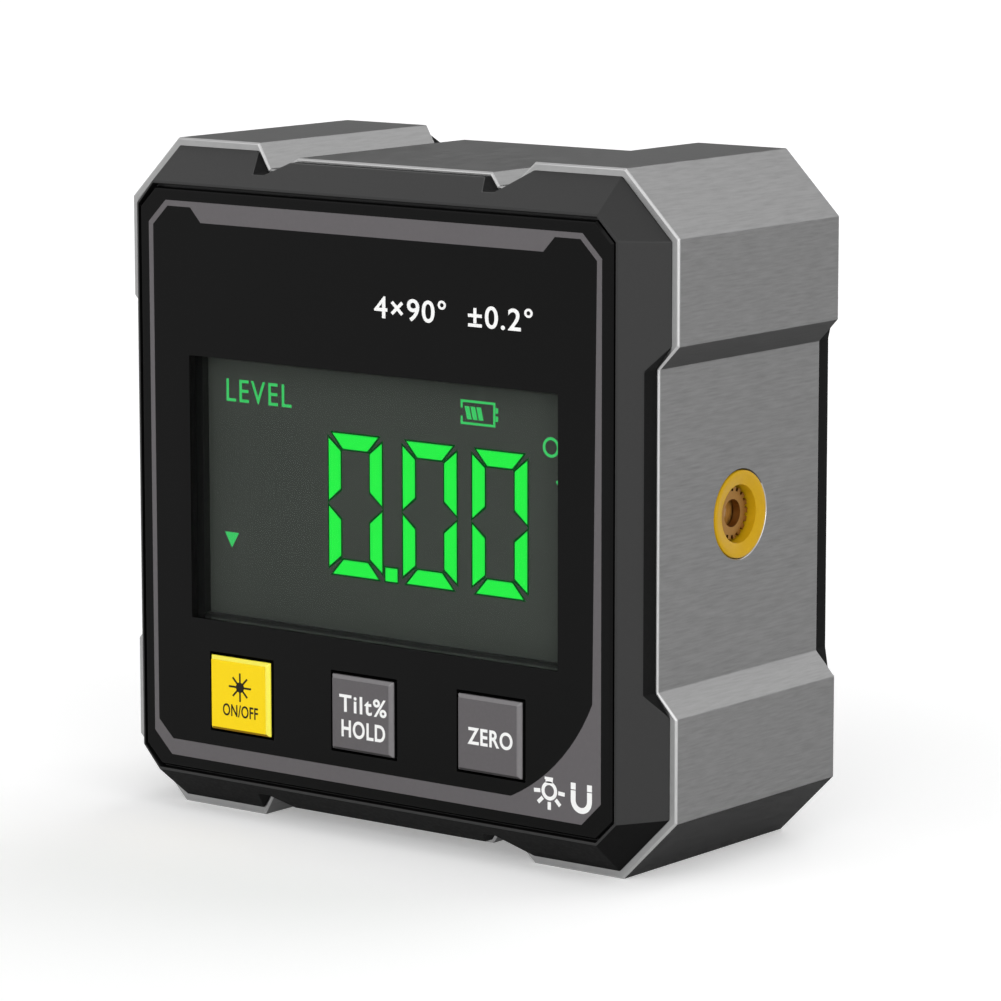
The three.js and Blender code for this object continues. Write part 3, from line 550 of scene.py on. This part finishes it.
def finishKey(shape):
    # The face of a key lies an ink's depth back, so that the printing ends flush. Its upper
    # and side chamfers get the paler, glossier copy, a painted highlight; the lower one gets the
    # darker matt copy and its walls the black, both painted shade.
    middle = sum((v.co for v in shape.verts), Vector()) / len(shape.verts)
    for vertex in shape.verts:
        if vertex.co.y / mm - deviceOrigin.y < keyShape["face"]:
            vertex.co.y += inkDepth * mm
            vertex.co.x += math.copysign(keyShape["wider"] * mm, vertex.co.x - middle.x)
            vertex.co.z += math.copysign(keyShape["wider"] * mm, vertex.co.z - middle.z)
    shape.normal_update()
    for face in shape.faces:
        if keyShape["faceNormal"] < face.normal.y < -keyShape["wallNormal"]:
            face.material_index = 1 if face.normal.z > keyShape["lowerNormal"] else 2
        elif abs(face.normal.y) < keyShape["wallNormal"]:
            face.material_index = 3


for nodeName, body, materials, slotName in [
        ("on_off_button", "on_off_key", [yellowKey, yellowHighlightEdge, yellowShadedUnder, roughAbsAndShade],
         "button_yellow"),
        ("hold_button", "hold_key", [greyKey, greyHighlightEdge, greyShadedUnder, roughAbsAndShade], "button_grey"),
        ("zero_button", "zero_key", [greyKey, greyHighlightEdge, greyShadedUnder, roughAbsAndShade], "button_grey")]:
    dressedCopy(nodeName, nodeName + "_cap", materials, body, slotName, keyShape["edge"],
                everyEdge, 1, finishKey)
print("dressed copies ready")


# Printing

def thicken(shape, faces):
    # Faces drawn flat get the depth of the ink behind them
    made = bmesh.ops.extrude_face_region(shape, geom=faces)
    moved = [part for part in made["geom"] if isinstance(part, bmesh.types.BMVert)]
    bmesh.ops.translate(shape, verts=moved, vec=(0, inkDepth * mm, 0))


def onCircle(centre, radius, angle):
    return centre[0] + radius * math.cos(angle), centre[1] + radius * math.sin(angle)


def joinPlate(shape, outline, front):
    # A thin plate from a few corner points, its front at that depth
    thicken(shape, [shape.faces.new([shape.verts.new(at(x, front, z)) for x, z in outline])])


def joinRing(shape, centre, outer, inner, front, steps=40):
    rims = []
    for radius in (outer, inner):
        made = bmesh.ops.create_circle(
            shape, segments=steps, radius=radius * mm,
            matrix=Matrix.Translation(at(centre[0], front, centre[1]))
            @ Matrix.Rotation(math.radians(90), 4, "X"))
        rims += {e for v in made["verts"] for e in v.link_edges}
    thicken(shape, bmesh.ops.bridge_loops(shape, edges=rims)["faces"])


def strip(start, end, width):
    # Corner points of a straight stroke between two points
    (x0, z0), (x1, z1) = start, end
    length = math.hypot(x1 - x0, z1 - z0)
    dx, dz = (z1 - z0) / length * width / 2, -(x1 - x0) / length * width / 2
    return [(x0 + dx, z0 + dz), (x1 + dx, z1 + dz), (x1 - dx, z1 - dz), (x0 - dx, z0 - dz)]


def joinRay(shape, centre, angle, inner, outer, width, front):
    # A stroke that points away from a centre
    joinPlate(shape, strip(onCircle(centre, inner, angle), onCircle(centre, outer, angle), width),
              front)


def finishPrint(shape, name, material, body, slotName):
    bmesh.ops.recalc_face_normals(shape, faces=shape.faces)
    finishPiece(shape, name, material, body, slotName)


def addWords(words, name, box, front, weight, material, body, slotName, spacing):
    # Lettering fitted to a box (left, right, bottom, top), made a mesh before it is placed
    text = bpy.data.curves.new(name, "FONT")
    text.body = words
    text.size = 1
    text.offset = weight
    text.extrude = 0.01
    text.space_character = spacing
    holder = bpy.data.objects.new(name, text)
    bpy.context.scene.collection.objects.link(holder)
    bpy.context.view_layer.update()
    mesh = bpy.data.meshes.new_from_object(
        holder.evaluated_get(bpy.context.evaluated_depsgraph_get()))
    bpy.data.objects.remove(holder)
    left, right = min(v.co.x for v in mesh.vertices), max(v.co.x for v in mesh.vertices)
    low, high = min(v.co.y for v in mesh.vertices), max(v.co.y for v in mesh.vertices)
    across = (box[1] - box[0]) / (right - left)
    up = (box[3] - box[2]) / (high - low)
    for vertex in mesh.vertices:
        x = box[0] + (vertex.co.x - left) * across
        z = box[2] + (vertex.co.y - low) * up
        y = front if vertex.co.z > 0 else front + inkDepth
        vertex.co = at(x, y, z)
    shape = bmesh.new()
    shape.from_mesh(mesh)
    bmesh.ops.remove_doubles(shape, verts=shape.verts, dist=hair * mm)
    finishPrint(shape, name, material, body, slotName)


# The signs are printed over the grey band, so they lie one more depth of ink to the front
panelFace = -3.6
signFront = panelFace - 2 * inkDepth
panelPrint = {
    "front": panelFace - inkDepth, "half": 24.85, "corner": 47.7, "line": 0.5,
    "topBand": (20.0, 18.8, 23.05), "bottomBand": 23.4, "lowerLeft": (-22.7, -21.8),
    "arcCentre": (7.79, -7.52), "arcRadius": 17.6, "arcStart": -64.4, "arcTurn": 44.9,
    "arcSteps": 12,
}


def printedFrame():
    # The grey line round the panel with its broad bands at the top and the bottom
    half, corner, line = panelPrint["half"], panelPrint["corner"], panelPrint["line"]
    outer = [(half, corner - half), (corner - half, half)]
    outer += [(-x, z) for x, z in reversed(outer)]
    outer += [(x, -z) for x, z in reversed(outer)]
    inset = half - line
    cut = corner - line * math.sqrt(2)
    acrossHigh, acrossLow, bandLow = panelPrint["topBand"]
    leftAcross, leftRise = panelPrint["lowerLeft"]
    step = panelPrint["arcTurn"] / panelPrint["arcSteps"]
    arc = [onCircle(panelPrint["arcCentre"], panelPrint["arcRadius"],
                    math.radians(panelPrint["arcStart"] + i * step))
           for i in range(panelPrint["arcSteps"] + 1)]
    inner = [(inset, cut - inset), (cut - inset, inset), (acrossHigh, inset),
             (acrossLow, bandLow), (-acrossLow, bandLow), (-acrossHigh, inset),
             (inset - cut, inset), (-inset, cut - inset), (-inset, leftRise),
             (leftAcross, -panelPrint["bottomBand"])] + [(x, z) for x, z in arc if x < inset]
    shape = bmesh.new()
    loops = []
    for outline in (outer, inner):
        corners = [shape.verts.new(at(x, panelPrint["front"], z)) for x, z in outline]
        loops += [shape.edges.new((a, b)) for a, b in zip(corners, corners[1:] + corners[:1])]
    filled = bmesh.ops.triangle_fill(shape, edges=loops, use_beauty=True)
    thicken(shape, [part for part in filled["geom"] if isinstance(part, bmesh.types.BMFace)])
    finishPrint(shape, "panel_print", greyInk, "instrument", "panel_gloss")


printedFrame()
addWords("4×90°  ±0.2°", "range_figures", (0.75, 17.7, 16.2, 18.2), panelPrint["front"], 0.012,
         whiteInk, "instrument", "panel_gloss", 1.1)


lampSign = {
    "centre": (19.49, -22.4), "outer": 0.82, "inner": 0.5,
    "cap": [(19.1, -21.72), (19.1, -21.45), (19.0, -21.45), (19.0, -21.22), (19.88, -21.22),
            (19.88, -21.45), (19.85, -21.45), (19.85, -21.72)],
    "rays": (-4, -45, -90, -137, -176), "rayStart": 0.95, "rayEnd": 1.62, "rayWidth": 0.34,
}


def bulbSign():
    shape = bmesh.new()
    joinRing(shape, lampSign["centre"], lampSign["outer"], lampSign["inner"], signFront)
    joinPlate(shape, lampSign["cap"], signFront)
    for angle in lampSign["rays"]:
        joinRay(shape, lampSign["centre"], math.radians(angle), lampSign["rayStart"],
                lampSign["rayEnd"], lampSign["rayWidth"], signFront)
    finishPrint(shape, "lamp_sign", whiteInk, "instrument", "panel_gloss")


horseshoe = {
    "middle": (22.85, -22.8), "outer": 1.1, "inner": 0.6, "legEnd": -22.0,
    "tip": (-21.92, -21.35), "steps": 16,
}


def magnetSign():
    # A bow with two legs, each with a tip set apart from it
    middle, outer, inner = horseshoe["middle"], horseshoe["outer"], horseshoe["inner"]
    steps, legEnd = horseshoe["steps"], horseshoe["legEnd"]
    low, high = horseshoe["tip"]
    outline = [onCircle(middle, outer, math.pi + i * math.pi / steps) for i in range(steps + 1)]
    outline += [(middle[0] + outer, legEnd), (middle[0] + inner, legEnd)]
    outline += [onCircle(middle, inner, -i * math.pi / steps) for i in range(steps + 1)]
    outline += [(middle[0] - inner, legEnd), (middle[0] - outer, legEnd)]
    shape = bmesh.new()
    joinPlate(shape, outline, signFront)
    for side in (-1, 1):
        x0, x1 = sorted((middle[0] + side * inner, middle[0] + side * outer))
        joinPlate(shape, [(x0, low), (x1, low), (x1, high), (x0, high)], signFront)
    finishPrint(shape, "magnet_sign", whiteInk, "instrument", "panel_gloss")


bulbSign()
magnetSign()


# The display: figures with a dark outline behind them, degree ring, battery and marks, all a
# small gap in front of its glass

glassFace, glassGap = -1.3, 0.01
displayPlane = glassFace - inkDepth - glassGap
displayFront = displayPlane - inkDepth

figure = {
    "places": [(-6.28, -0.38), (1.97, 7.81), (9.55, 15.39)], "width": 1.3,
    "top": 5.46, "bottom": -6.92, "split": (-0.44, -1.04), "taper": 1.08,
    "upperEnd": (4.95, 3.92), "lowerEnd": (-6.28, -5.26), "corner": 0.42, "mitre": 0.3,
    "point": (0, 1.3, -6.95, -5.79), "outline": 0.17, "outlineBack": 0.005,
}


def zeroSegments(left, right, grow):
    # Six mitred segments of a nought; grow widens each for its outline
    width, top, bottom, taper = (figure[k] for k in ("width", "top", "bottom", "taper"))
    above, below = figure["split"]
    highOut, highIn = figure["upperEnd"]
    lowOut, lowIn = figure["lowerEnd"]
    outer, inner = left - grow, left + width + grow
    leftSide = [
        [(outer, highOut + 2 * grow), (inner, highIn + grow),
         (inner, above + taper - grow), (outer, above - 2 * grow)],
        [(outer, below + 2 * grow), (inner, below - taper + grow),
         (inner, lowIn - grow), (outer, lowOut - 2 * grow)],
    ]
    mirrored = [[(left + right - x, z) for x, z in reversed(points)] for points in leftSide]
    reach = figure["corner"] - 2 * grow
    inset = width + figure["mitre"] - grow
    ends = [
        [(left + reach, top + grow), (right - reach, top + grow),
         (right - inset, top - width - grow), (left + inset, top - width - grow)],
        [(left + inset, bottom + width + grow), (right - inset, bottom + width + grow),
         (right - reach, bottom - grow), (left + reach, bottom - grow)],
    ]
    return leftSide + mirrored + ends


def displayFigures():
    x0, x1, z0, z1 = figure["point"]
    for name, material, grow, front in [
            ("figure_outlines", dimGreen, figure["outline"], displayPlane + figure["outlineBack"]),
            ("figures", litGreen, 0, displayFront)]:
        shape = bmesh.new()
        for left, right in figure["places"]:
            for points in zeroSegments(left, right, grow):
                joinPlate(shape, points, front)
        joinPlate(shape, [(x0 - grow, z0 - grow), (x1 + grow, z0 - grow), (x1 + grow, z1 + grow),
                          (x0 - grow, z1 + grow)], front)
        finishPrint(shape, name, material, "instrument", "display_grey")


marks = {
    "degree": ((17.91, 6.35), 0.86, 0.62),
    "arrow": [(-18.29, -4.5), (-16.69, -4.5), (-17.52, -5.85)],
    "batteryStrokes": [((8.3, 9.5), (12.0, 9.5)), ((8.3, 7.6), (12.0, 7.6)),
                       ((8.4, 9.4), (8.4, 8.9)), ((8.4, 8.2), (8.4, 7.7)),
                       ((11.9, 9.4), (11.9, 7.7))],
    "strokeWidth": 0.2,
    "batteryEnds": [(8.0, 8.45), (8.7, 9.15)], "batteryEndAcross": (12.05, 12.3),
    "bars": (8.72, 9.35, 9.98), "barRise": (7.96, 9.06), "barWidth": 0.48, "barLean": 0.28,
    "tick": ((18.5, 3.56), (18.68, 3.3)), "tickWidth": 0.22,
}


def displayMarks():
    shape = bmesh.new()
    joinRing(shape, *marks["degree"], displayFront)
    joinPlate(shape, marks["arrow"], displayFront)
    for start, end in marks["batteryStrokes"]:
        joinPlate(shape, strip(start, end, marks["strokeWidth"]), displayFront)
    x0, x1 = marks["batteryEndAcross"]
    for low, high in marks["batteryEnds"]:
        joinPlate(shape, [(x0, low), (x1, low), (x1, high), (x0, high)], displayFront)
    low, high = marks["barRise"]
    width, lean = marks["barWidth"], marks["barLean"]
    for x in marks["bars"]:
        joinPlate(shape, [(x, high), (x + width, high), (x + width + lean, low), (x + lean, low)],
                  displayFront)
    joinPlate(shape, strip(*marks["tick"], marks["tickWidth"]), displayFront)
    finishPrint(shape, "display_marks", markGreen, "instrument", "display_grey")


displayFigures()
displayMarks()
addWords("LEVEL", "level_word", (-17.96, -10.5, 7.2, 9.2), displayFront, 0.0, markGreen,
         "instrument", "display_grey", 1.15)


# Words and signs on the keys, flush with the key faces

keyFace = -4.1

# words, name, box, weight, ink, body, slot, spacing
keyWords = [
    ("ON/OFF", "on_off_word", (-16.36, -12.3, -20.38, -19.29), 0.012, darkInk, "on_off_key",
     "button_yellow", 1.05),
    ("Tilt%", "tilt_word", (-2.99, 2.27, -18.34, -16.78), 0.018, whiteInk, "hold_key",
     "button_grey", 1.15),
    ("HOLD", "hold_word", (-2.76, 2.1, -20.54, -19.0), 0.022, whiteInk, "hold_key",
     "button_grey", 1.1),
    ("ZERO", "zero_word", (11.14, 15.94, -19.38, -17.87), 0.022, whiteInk, "zero_key",
     "button_grey", 1.1),
]
for text, name, box, weight, ink, body, slotName, spacing in keyWords:
    addWords(text, name, box, keyFace, weight, ink, body, slotName, spacing)

# Every second ray of the beam is longer
beam = {
    "centre": (-14.36, -17.69), "outer": 0.46, "inner": 0.02, "steps": 24, "rays": 8,
    "rayStart": 0.4, "rayEnds": (1.28, 1.18), "rayWidth": 0.17,
}


def beamSign():
    shape = bmesh.new()
    joinRing(shape, beam["centre"], beam["outer"], beam["inner"], keyFace, beam["steps"])
    for i in range(beam["rays"]):
        joinRay(shape, beam["centre"], i * 2 * math.pi / beam["rays"], beam["rayStart"],
                beam["rayEnds"][i % 2], beam["rayWidth"], keyFace)
    finishPrint(shape, "beam_sign", darkInk, "on_off_key", "button_yellow")


beamSign()
print("printing ready")


def turnedShape(profile, centre, axis, across, steps):
    # A profile of (radius, along) points turned about an axis through centre. One that starts
    # and ends on the axis closes by itself, any other is joined to a ring.
    shape = bmesh.new()
    corners = [
        shape.verts.new(at(*(Vector(centre) + Vector(axis) * along + Vector(across) * radius)))
        for radius, along in profile]
    ends = corners[1:] if profile[0][0] == 0 else corners[1:] + corners[:1]
    chain = [shape.edges.new((a, b)) for a, b in zip(corners, ends)]
    bmesh.ops.spin(shape, geom=corners + chain, cent=at(*centre), axis=axis,
                   angle=math.radians(360), steps=steps, use_merge=True)
    bmesh.ops.remove_doubles(shape, verts=shape.verts, dist=hair * mm)
    bmesh.ops.recalc_face_normals(shape, faces=shape.faces)
    return shape


# Laser port rings, turned about x: nearly flat, with a rounded rim and a slight dish

portRing = {
    "steps": 96,
    "profile": [(2.5, -2.65), (4.5, -2.65), (4.5, -1.85), (3.76, -1.85), (3.76, 0.0),
                (3.72, 0.06), (3.64, 0.09), (3.46, 0.09), (3.34, 0.07), (2.6, -0.1),
                (2.52, -0.14), (2.5, -0.2)],
}

for side, word in ((-1, "left"), (1, "right")):
    shape = turnedShape(portRing["profile"], (side * portPlace["floor"], portPlace["depth"], 0),
                        (side, 0, 0), (0, 0, 1), portRing["steps"])
    piece = finishPiece(shape, "port_ring_" + word, portYellow, "instrument", "port_yellow")
    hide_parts("laser_port_ring_" + word)
print("port rings ready")


# The two cells, which show when the door is open: crimped sleeve, steel ends and a nipple. The
# left one stands with its nipple up, the right one with its nipple down.

cell = {
    "across": 5.45, "depth": 18.95, "base": 20.3, "steps": 64, "steelRadius": 4.55,
    "profile": [(0, 0), (4.7, 0), (5.05, 0.12), (5.2, 0.4), (5.2, 43.2), (5.05, 43.48),
                (4.7, 43.6), (4.5, 43.45), (2.1, 43.45), (1.95, 43.6), (1.9, 44.35), (1.75, 44.5),
                (0, 44.5)],
}

for side, word in ((-1, "left"), (1, "right")):
    across = side * cell["across"]
    shape = turnedShape(cell["profile"], (across, cell["depth"], side * cell["base"]),
                        (0, 0, -side), (1, 0, 0), cell["steps"])
    for face in shape.faces:
        place = face.calc_center_median() / mm - deviceOrigin
        if math.hypot(place.x - across, place.y - cell["depth"]) < cell["steelRadius"]:
            face.material_index = 1
    piece = finishPiece(shape, "battery_cell_sleeve_" + word, [cellSleeve, nickelPlate],
                        "instrument", "cell_wrap")
    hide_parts("battery_cell_" + word)
print("cells ready")


# Floor, world and lamps

studio = {
    "floorSize": 8, "floorColour": "#f8f8f8", "floorLift": 0.27, "worldLight": 0.45,
    "lamps": [
        # name, direction towards the lamp, strength, spread in degrees
        ("key_lamp", (-0.4, -0.82, 0.5), 0.45, 50),
        ("fill_lamp", (0.68, -0.65, 0.28), 1.75, 80),
        ("edge_lamp", (0.78, -0.61, 0.04), 0.3, 14),
        ("back_lamp", (0.16, 0.78, 0.6), 0.9, 60),
    ],
}


def seenRays(tree):
    # 1 for what the camera sees, itself, in a reflection or through a pane, 0 for other light
    path = addNode(tree, "LightPath")
    seen = addNode(tree, "Math", {
        0: path.outputs["Is Camera Ray"], 1: path.outputs["Is Glossy Ray"]}, operation="MAXIMUM")
    return addNode(tree, "Math", {
        0: seen.outputs[0], 1: path.outputs["Is Transmission Ray"]}, operation="MAXIMUM")


def setStage():
    # The floor is plain white; towards the camera and in reflections it is lifted a little so
    # that it meets the white background, and it keeps the shadow
    material, tree, shader = newMaterial("studio_floor", {
        "Base Color": linear(studio["floorColour"]), "Roughness": 0.9, "Specular IOR Level": 0,
        "Emission Color": (1, 1, 1, 1),
    })
    seen = seenRays(tree)
    lift = addNode(tree, "Math", {0: seen.outputs[0], 1: studio["floorLift"]}, operation="MULTIPLY")
    tree.links.new(lift.outputs[0], shader.inputs["Emission Strength"])
    shape = bmesh.new()
    bmesh.ops.create_grid(shape, x_segments=1, y_segments=1, size=studio["floorSize"] / 2)
    mesh = bpy.data.meshes.new("studio_floor")
    shape.to_mesh(mesh)
    shape.free()
    mesh.materials.append(material)
    floor = bpy.data.objects.new("studio_floor", mesh)
    bpy.context.scene.collection.objects.link(floor)


def setWorld():
    world = bpy.data.worlds.new("studio")
    bpy.context.scene.world = world
    world.use_nodes = True
    tree = world.node_tree
    background = tree.nodes["Background"]
    background.inputs["Color"].default_value = (1, 1, 1, 1)
    seen = seenRays(tree)
    level = addNode(tree, "MapRange", {
        "Value": seen.outputs[0], "To Min": studio["worldLight"], "To Max": 1})
    tree.links.new(level.outputs["Result"], background.inputs["Strength"])


def setLamps():
    for name, towards, strength, spread in studio["lamps"]:
        light = bpy.data.lights.new(name, "SUN")
        light.energy = strength
        light.angle = math.radians(spread)
        lamp = bpy.data.objects.new(name, light)
        lamp.rotation_euler = Vector(towards).to_track_quat("Z", "Y").to_euler()
        bpy.context.scene.collection.objects.link(lamp)


# Camera at the viewing angle: 37.8 degrees to the right of straight on, 9.3 degrees up

cameraSet = {
    "place": (0.256235, -0.32683, 0.096239), "azimuth": 37.792, "elevation": 9.271, "roll": -0.05,
    "lens": 171.62, "sensor": 36, "nearest": 0.01,
}


def setCamera():
    azimuth, elevation = math.radians(cameraSet["azimuth"]), math.radians(cameraSet["elevation"])
    level = math.cos(elevation)
    back = Vector((math.sin(azimuth) * level, -math.cos(azimuth) * level, math.sin(elevation)))
    data = bpy.data.cameras.new("camera")
    data.lens = cameraSet["lens"]
    data.sensor_width = cameraSet["sensor"]
    data.clip_start = cameraSet["nearest"]
    camera = bpy.data.objects.new("camera", data)
    turn = (-back).to_track_quat("-Z", "Y").to_matrix().to_4x4()
    roll = Matrix.Rotation(math.radians(cameraSet["roll"]), 4, "Z")
    camera.matrix_world = Matrix.Translation(cameraSet["place"]) @ turn @ roll
    bpy.context.scene.collection.objects.link(camera)
    bpy.context.scene.camera = camera


setStage()
setWorld()
setLamps()
setCamera()
bpy.context.scene.view_settings.view_transform = "Standard"
print("stage, lamps and camera ready")
